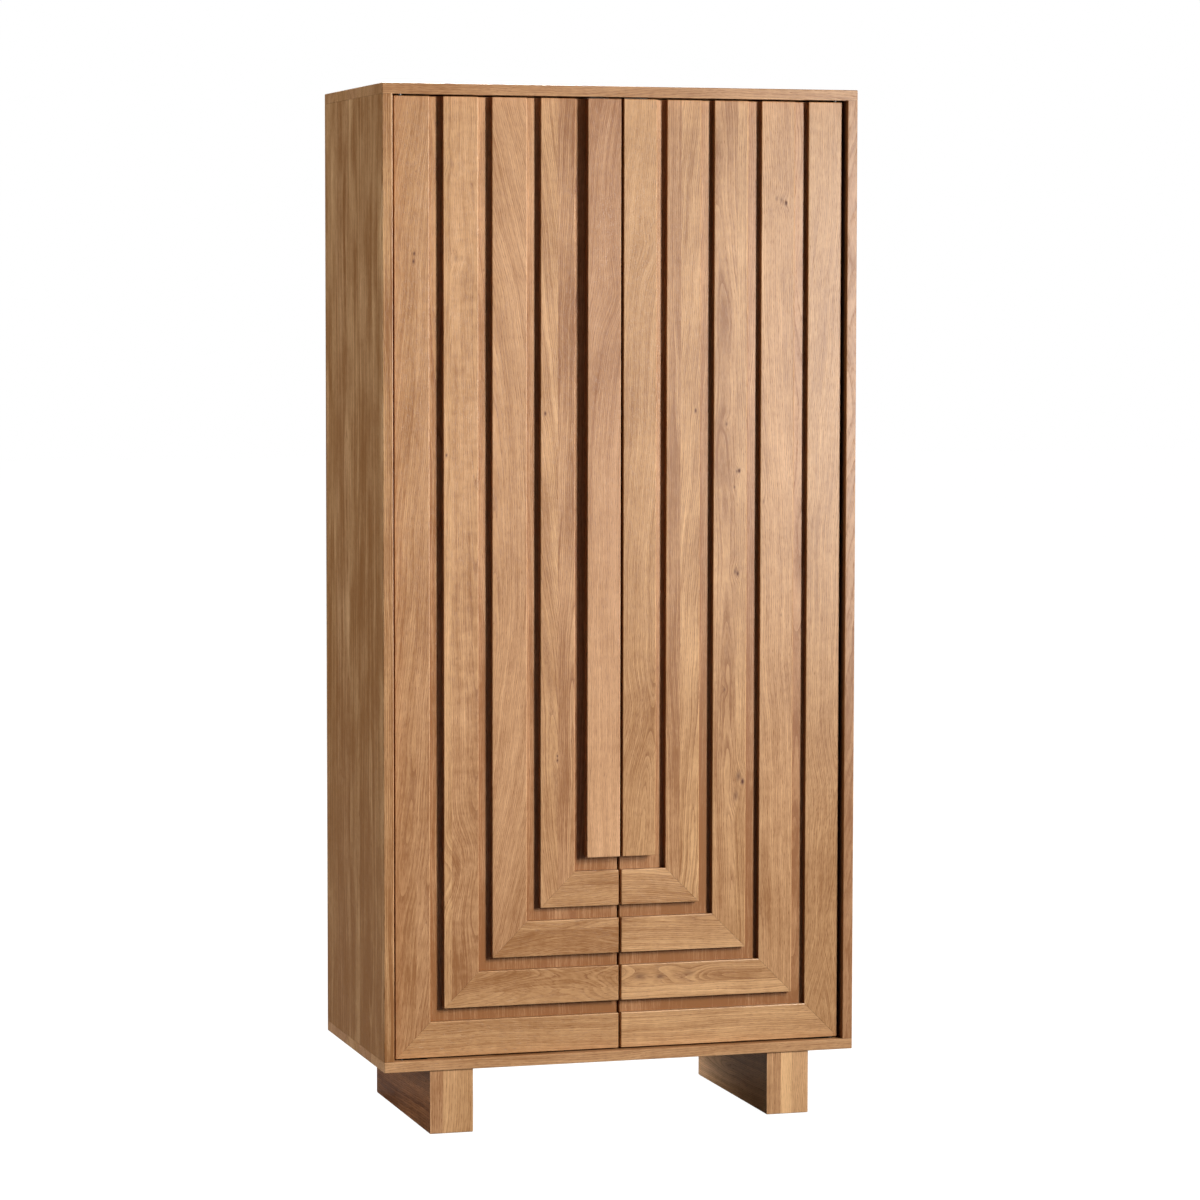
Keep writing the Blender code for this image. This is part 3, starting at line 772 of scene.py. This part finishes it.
# %% Metal rubbed along one axis
# Each kind of mark: its blots a metre along the rub and across it, its detail and its shift
SMUDGES = (90, 90, 3.0, 5.0)
SPOTS = (700, 700, 1.0, 9.0)
SPOT_FROM, SPOT_TO = 0.68, 0.80
SMOOTHEST = 0.12
# A rubbed line is so many times as long as it's wide
LINE_LENGTH = 60


def rubbed_metal(title, light, dark, roughness, lines):
    """Metal rubbed along x, with so many lines a metre across the rub.

    The roughness varies in fine noise that is drawn out along x, and the spots are where a
    coarser noise rises over a threshold.
    """
    material, shader = new_material(title)
    place = object_place(material.node_tree)
    rub = grain_noise(*place, lines / LINE_LENGTH, lines, 2.0)
    smudge = grain_noise(*place, *SMUDGES)
    spot = (grain_noise(*place, *SPOTS) + 0.5).between(SPOT_FROM, SPOT_TO)
    colour = (0.5 + rub * 1.2 + smudge * 0.8 - spot * 0.5).mixed(dark, light)
    rough = roughness + rub * 0.30 + smudge * 0.16 + spot * 0.12
    rough = rough.math("MAXIMUM", SMOOTHEST)
    shader.inputs["Metallic"].default_value = 1.0
    set_finish(shader, colour, rough, rub - spot * 0.6, strength=0.35, distance=0.00004)
    return material


# Painted shade: the hinge leaves are nearly black, so that they vanish in the shaded gap over the
# doors
shade_dark_steel = rubbed_metal(
    "shade_dark_steel",
    light=(0.13, 0.125, 0.12, 1.0),
    dark=(0.07, 0.068, 0.065, 1.0),
    roughness=0.42,
    lines=5200,
)
bare_steel = rubbed_metal(
    "bare_steel",
    light=(0.48, 0.47, 0.45, 1.0),
    dark=(0.30, 0.29, 0.28, 1.0),
    roughness=0.38,
    lines=5200,
)
satin_nickel = rubbed_metal(
    "satin_nickel",
    light=(0.76, 0.73, 0.68, 1.0),
    dark=(0.54, 0.52, 0.48, 1.0),
    roughness=0.24,
    lines=7000,
)
print("Metals:", shade_dark_steel.name, bare_steel.name, satin_nickel.name)


# %% The shells of the catches
CLOUDY = (70, 70, 2.0)
PITS = (2600, 2600, 1.0)


def moulded_shell():
    """Pale moulded plastic: a cloudy colour and the fine pitted face of its mould."""
    material, shader = new_material("moulded_shell")
    place = object_place(material.node_tree)
    cloud = grain_noise(*place, *CLOUDY)
    pits = grain_noise(*place, *PITS)
    share = 0.5 + cloud * 1.4 + pits * 0.3
    colour = share.mixed((0.52, 0.50, 0.46, 1.0), (0.68, 0.66, 0.61, 1.0))
    rough = 0.44 + cloud * 0.20 + pits * 0.15
    set_finish(shader, colour, rough, pits, strength=0.4, distance=0.00005)
    return material


shell = moulded_shell()
fitted = 0
for name, node in frame["nodes"].items():
    if name.endswith("_leaf"):
        node.material_slots[0].material = shade_dark_steel
    elif "_pin_" in name or name.endswith("_strike_plate"):
        node.material_slots[0].material = satin_nickel
    elif name.endswith("_catch"):
        node.material_slots[0].material = shell
    else:
        continue
    fitted += 1
print("Metal and moulded nodes:", fitted)

# %% [markdown]
# ## Screws
#
# The solids have the holes, and here are the screws that fill them. Each is a surface turned from
# a profile, with a cross pressed into its head. The cross isn't cut out: the head is a height
# over each point of a round grid, and the height drops where the point lies in one of two bars.
# That keeps the mesh whole, with even faces, and the bars get the sloped walls of a pressed cross.

# %% A screw as a height over a round grid
SECTORS = 56
HEAD_RINGS = 16
SLOPE = 0.00016
# The cross in a head, as shares of the head's radius
BAR_HALF = 0.11
BAR_REACH = 0.56
BAR_DEPTH = 0.36


def rise(values, start):
    """0 below start and 1 from one slope's width above it, straight between."""
    return np.clip((values - start) / SLOPE, 0.0, 1.0)


def screw_points(head, dome, shank, cone, tail):
    """Rings of points from the middle of the head out, down its cone and along the shank.

    The head's height at radius r is dome * (1 - (r / head)^2), less the depth of the cross. A
    point is in the cross where |x| or |y| is under its half width and both are under its reach.
    """
    radii = np.linspace(0.0, head, HEAD_RINGS + 1)[1:]
    turns = np.linspace(0.0, math.tau, SECTORS, endpoint=False)
    x = np.outer(radii, np.cos(turns))
    y = np.outer(radii, np.sin(turns))
    narrow = np.minimum(abs(x), abs(y))
    wide = np.maximum(abs(x), abs(y))
    cross = (1 - rise(narrow, head * BAR_HALF)) * (1 - rise(wide, head * BAR_REACH))
    z = dome * (1 - (radii / head) ** 2)[:, None] - cross * head * BAR_DEPTH
    rings = [np.stack((x, y, z), axis=-1)]
    circle = np.stack((np.cos(turns), np.sin(turns), np.zeros(SECTORS)), axis=-1) * shank
    for level in (-cone, -tail):
        rings.append((circle + (0.0, 0.0, level))[None])
    grid = np.concatenate(rings)
    poles = np.array(((0.0, 0.0, dome - head * BAR_DEPTH), (0.0, 0.0, -tail)))
    return grid, poles


def round_faces(rows):
    """Quads of a round grid of rings, and the fans that close it on the poles stored after them."""
    ring = np.arange(SECTORS)
    after = (ring + 1) % SECTORS
    row = (np.arange(rows - 1) * SECTORS)[:, None]
    below = row + SECTORS
    quads = np.stack((row + ring, below + ring, below + after, row + after), axis=-1)
    first = np.full(SECTORS, rows * SECTORS)
    last = (rows - 1) * SECTORS
    top = np.stack((first, ring, after), axis=-1)
    tip = np.stack((first + 1, last + after, last + ring), axis=-1)
    return quads.reshape(-1, 4), np.concatenate((top, tip))


print("Faces on a screw:", sum(len(faces) for faces in round_faces(HEAD_RINGS + 2)))

# %% [markdown]
# ## Where the screws go
#
# A leaf has two countersunk screws, a strike plate two small flush ones, and a catch two round
# heads under its flange. Their places are read from the boxes of the solids, as the fitter of the
# real cabinet would take them from the hardware.

# %% Set the screws
LEAF = 0.0025
# Places of the screws as shares of a leaf's length and of a strike plate's
LEAF_SCREWS = (0.55, 0.85)
STRIKE_SCREW = 0.36
SUNK = 0.0001
CATCH_BODY = 0.028
FLANGE = 0.003
# Radius of the head, height of its dome, radius of the shank, depth of the cone and of the tip
LEAF_HEAD = (0.00315, 0.0, 0.0016, 0.0017, 0.0024)
STRIKE_HEAD = (0.0017, 0.0, 0.0015, 0.0004, 0.0013)
CATCH_HEAD = (0.0029, 0.0014, 0.0016, 0.0, 0.0026)
SHARP_EDGE = math.radians(35)


def make_piece(name, points, faces, body, material):
    """A mesh with its place in its points, riding on a body."""
    mesh = bpy.data.meshes.new(name)
    mesh.from_pydata(points.tolist(), [], faces)
    mesh.shade_smooth()
    mesh.set_sharp_from_angle(angle=SHARP_EDGE)
    mesh.materials.append(material)
    piece = bpy.data.objects.new(name, mesh)
    bpy.context.scene.collection.objects.link(piece)
    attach(piece, body)
    return piece


def make_screws(name, places, out, sizes, body, material):
    """Screws at some places, whose heads face along out. Sizes are as for screw_points."""
    grid, poles = screw_points(*sizes)
    points = np.concatenate((grid.reshape(-1, 3), poles))
    across = Vector(out).orthogonal().normalized()
    basis = np.array((across, Vector(out).cross(across), out))
    quads, fans = round_faces(len(grid))
    faces = []
    for number in range(len(places)):
        start = number * len(points)
        faces += (quads + start).tolist() + (fans + start).tolist()
    placed = np.concatenate([points @ basis + np.array(place) for place in places])
    return make_piece(name, placed, faces, body, material)


def leaf_screw_places(name):
    """The two screw places of a hinge leaf, measured along it from the round end with the pivot."""
    low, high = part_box(name)
    outer, inner = (low[0], high[0]) if "left" in name else (high[0], low[0])
    return [(outer + (inner - outer) * share, (low[1] + high[1]) / 2) for share in LEAF_SCREWS]


for name in sorted(frame["nodes"]):
    low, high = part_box(name)
    body = body_of(frame["nodes"][name])[0]
    middle = [(a + b) / 2 for a, b in zip(low, high)]
    title = f"{name}_screws"
    if name.endswith("_carcass_leaf"):
        # The box takes in the pivot, so the face in view is one leaf's thickness from the back
        up = 1 if "bottom" in name else -1
        face = low[2] + LEAF if up > 0 else high[2] - LEAF
        places = [(x, y, face) for x, y in leaf_screw_places(name)]
        make_screws(title, places, (0, 0, up), LEAF_HEAD, body, shade_dark_steel)
    elif name.endswith("_door_leaf"):
        up = 1 if "top" in name else -1
        places = [(x, y, high[2] if up > 0 else low[2]) for x, y in leaf_screw_places(name)]
        make_screws(title, places, (0, 0, up), LEAF_HEAD, body, shade_dark_steel)
    elif name.endswith("_strike_plate"):
        reach = (high[0] - low[0]) * STRIKE_SCREW
        places = [(middle[0] + way * reach, high[1] - SUNK, middle[2]) for way in (-1, 1)]
        make_screws(title, places, (0, 1, 0), STRIKE_HEAD, body, satin_nickel)
    elif name.endswith("_catch"):
        reach = (high[0] - low[0] + CATCH_BODY) / 4
        places = [(middle[0] + way * reach, middle[1], high[2] - FLANGE) for way in (-1, 1)]
        make_screws(title, places, (0, 0, -1), CATCH_HEAD, body, bare_steel)

# %% [markdown]
# ## The poles of the catches
#
# A magnetic catch holds a dark ferrite magnet between two steel plates, whose front edges are the
# poles that the door's plate meets. They fill the slot in the shell. Each is a block with rounded
# edges: the points of a cube's faces are drawn in to a smaller box, and then pushed out from it
# by the radius of the edges.

# %% Blocks with rounded edges
EDGE_STEPS = 5


def block_points(low, high, radius):
    """Points and faces of a block with rounded edges.

    Each point is its nearest one in the inner box, plus the radius along the way from there to
    the point on the outer box.
    """
    low, high = np.array(low), np.array(high)
    inner_low, inner_high = low + radius, high - radius
    bend = np.linspace(0.0, radius, EDGE_STEPS)
    lines = [np.concatenate((a + bend, (b - bend)[::-1])) for a, b in zip(low, high)]
    count = len(lines[0])
    points = []
    faces = []
    for axis in range(len(low)):
        second, third = (axis + 1) % 3, (axis + 2) % 3
        for level, outward in ((low[axis], False), (high[axis], True)):
            grid = np.zeros((count, count, 3))
            grid[..., axis] = level
            across = np.meshgrid(lines[second], lines[third], indexing="ij")
            grid[..., second], grid[..., third] = across
            start = len(points) * count * count
            corner = start + (np.arange(count - 1)[:, None] * count + np.arange(count - 1)).ravel()
            ring = np.stack((corner, corner + count, corner + count + 1, corner + 1), axis=-1)
            faces.append(ring if outward else ring[:, ::-1])
            points.append(grid)
    points = np.concatenate([grid.reshape(-1, 3) for grid in points])
    inner = np.clip(points, inner_low, inner_high)
    way = points - inner
    points = inner + radius * way / np.linalg.norm(way, axis=1, keepdims=True)
    kept, place = np.unique(points.round(7), axis=0, return_inverse=True)
    return kept, place.ravel()[np.concatenate(faces)]


def make_blocks(name, boxes, radius, body, material):
    """One piece of one or more blocks, each given by its low and its high corner."""
    points = []
    faces = []
    for low, high in boxes:
        block, sides = block_points(low, high, radius)
        faces += (sides + sum(len(part) for part in points)).tolist()
        points.append(block)
    return make_piece(name, np.concatenate(points), faces, body, material)


print("Points on a block:", len(block_points((0, 0, 0), (1, 1, 1), 0.1)[0]))

# %% Fill the slots of the catches
SLOT_HEIGHT = 0.004
POLE = 0.0011
POLE_REACH = 0.0125
POLE_DEPTH = 0.0018
POLE_AIR = 0.00015
POLE_EDGE = 0.0002
MAGNET_SETBACK = 0.0004
BODY_DROP = 0.013
SAND = (3000, 3000, 2.0)


def ferrite():
    """Dark grey fired magnet, with a fine sandy grain."""
    material, shader = new_material("ferrite")
    sand = grain_noise(*object_place(material.node_tree), *SAND)
    colour = (0.5 + sand * 2.0).mixed((0.020, 0.020, 0.022, 1.0), (0.070, 0.070, 0.074, 1.0))
    set_finish(shader, colour, 0.62 + sand * 0.3, sand, strength=0.5, distance=0.00004)
    return material


magnet = ferrite()
for side in ("left", "right"):
    low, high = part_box(f"{side}_catch")
    centre = (low[0] + high[0]) / 2
    level = low[2] + BODY_DROP / 2
    front = low[1] + POLE_AIR
    start, end = centre - POLE_REACH, centre + POLE_REACH
    far = SLOT_HEIGHT / 2 - POLE_AIR
    near = far - POLE
    plates = [
        ((start, front, level + lower), (end, front + POLE_DEPTH, level + upper))
        for lower, upper in ((-far, -near), (near, far))
    ]
    make_blocks(f"{side}_catch_poles", plates, POLE_EDGE, "carcass", bare_steel)
    half = near - POLE_AIR
    core = (
        (start, front + MAGNET_SETBACK, level - half),
        (end, front + POLE_DEPTH, level + half),
    )
    make_blocks(f"{side}_catch_magnet", [core], POLE_EDGE, "carcass", magnet)

# %% [markdown]
# ## Floor, background and lights
#
# The cabinet was lit by a tall narrow soft box, close by on the right. It throws a crisp upright
# shadow into every groove, and its height hides all level shadows. A real studio evens out such
# a near light with flags and white boards, so this one's strength doesn't fade with distance. A
# large weak light on the left lifts the side of the case and the sides of the feet. It stands
# behind the plane of the front, so that it can't shine into the grooves. Two lights that the
# photograph doesn't need show the top and the back to whoever walks round the cabinet. The one
# over the top has a narrow beam, as a lamp with a grid has, so that little of it reaches the
# floor. The side and rear lights throw no gloss, as lights behind crossed polarisers don't, or
# the back and the top would be covered with glare when they are seen at a low angle. The floor
# and the background are pale and plain.

# %% The floor
FLOOR_REACH = 30.0
FLOOR_DROP = 0.0005
FLOOR_TONE = 0.14
FLOOR_ROUGHNESS = 0.9
FLOOR_GLOSS = 0.1


def make_floor():
    """A square of floor just under the feet."""
    reach = FLOOR_REACH
    corners = [(-reach, -reach), (reach, -reach), (reach, reach), (-reach, reach)]
    mesh = bpy.data.meshes.new("floor")
    mesh.from_pydata([(x, y, -FLOOR_DROP) for x, y in corners], [], [(0, 1, 2, 3)])
    made = bpy.data.objects.new("floor", mesh)
    bpy.context.scene.collection.objects.link(made)
    return made


def pale_floor_material():
    """Pale to the eye, but it throws little light back up at the cabinet."""
    material, shader = new_material("pale_floor")
    tree = material.node_tree
    shader.inputs["Base Color"].default_value = (FLOOR_TONE, FLOOR_TONE, FLOOR_TONE, 1.0)
    shader.inputs["Roughness"].default_value = FLOOR_ROUGHNESS
    shader.inputs["Specular IOR Level"].default_value = FLOOR_GLOSS
    seen = tree.nodes.new("ShaderNodeLightPath").outputs["Is Camera Ray"]
    tree.links.new(seen, shader.inputs["Emission Color"])
    shader.inputs["Emission Strength"].default_value = 1.0
    return material


floor = make_floor()
floor.data.materials.append(pale_floor_material())
print("Floor:", 2 * FLOOR_REACH, "m square")

# %% Background and lights
AMBIENT = 0.010
WHITE = (1.0, 1.0, 1.0)
# Each light: its place, its aim, its width and height, its power in watts and its colour
LIGHTS = {
    "key": ((1.44, -2.04, 1.40), (-1.34, -0.92, 1.25), (0.40, 1.35), 15.4, (1.0, 0.98, 0.945)),
    "side_fill": ((-3.6, 1.7, 1.25), (-0.45, 0.1, 1.0), (3.2, 2.4), 8.1, (0.955, 0.99, 1.0)),
    "overhead": ((0.0, 1.3, 3.4), (0.0, 0.02, 1.9), (1.2, 0.4), 2.3, WHITE),
    "rear": ((2.2, 4.6, 3.6), (0.0, 0.0, 0.9), (2.0, 2.0), 6.0, WHITE),
}
GRID_SPREAD = math.radians(56)


def make_background():
    """White where the camera looks past the cabinet, and a weak even light on the cabinet."""
    world = bpy.data.worlds.new("background")
    world.use_nodes = True
    tree = world.node_tree
    background = tree.nodes["Background"]
    seen = Term(tree, tree.nodes.new("ShaderNodeLightPath").outputs["Is Camera Ray"])
    background.inputs["Color"].default_value = (*WHITE, 1.0)
    tree.links.new((seen * (1.0 - AMBIENT) + AMBIENT).socket, background.inputs["Strength"])
    bpy.context.scene.world = world


def make_light(name, place, aim, size, power, colour):
    """A soft box, turned to its aim, whose light doesn't fade with distance."""
    lamp = bpy.data.lights.new(name, "AREA")
    lamp.shape = "RECTANGLE"
    lamp.size, lamp.size_y = size
    lamp.energy = power
    lamp.color = colour
    lamp.use_nodes = True
    tree = lamp.node_tree
    even = tree.nodes.new("ShaderNodeLightFalloff")
    even.inputs["Strength"].default_value = 1.0
    tree.links.new(even.outputs["Constant"], tree.nodes["Emission"].inputs["Strength"])
    light = bpy.data.objects.new(name, lamp)
    bpy.context.scene.collection.objects.link(light)
    light.location = place
    light.rotation_euler = (Vector(aim) - Vector(place)).to_track_quat("-Z", "Y").to_euler()
    return light


make_background()
lights = {name: make_light(name, *settings) for name, settings in LIGHTS.items()}
lights["overhead"].data.spread = GRID_SPREAD
for name in ("side_fill", "rear"):
    lights[name].visible_glossy = False
bpy.context.scene.view_settings.view_transform = "Standard"
print("Lights:", ", ".join(lights))
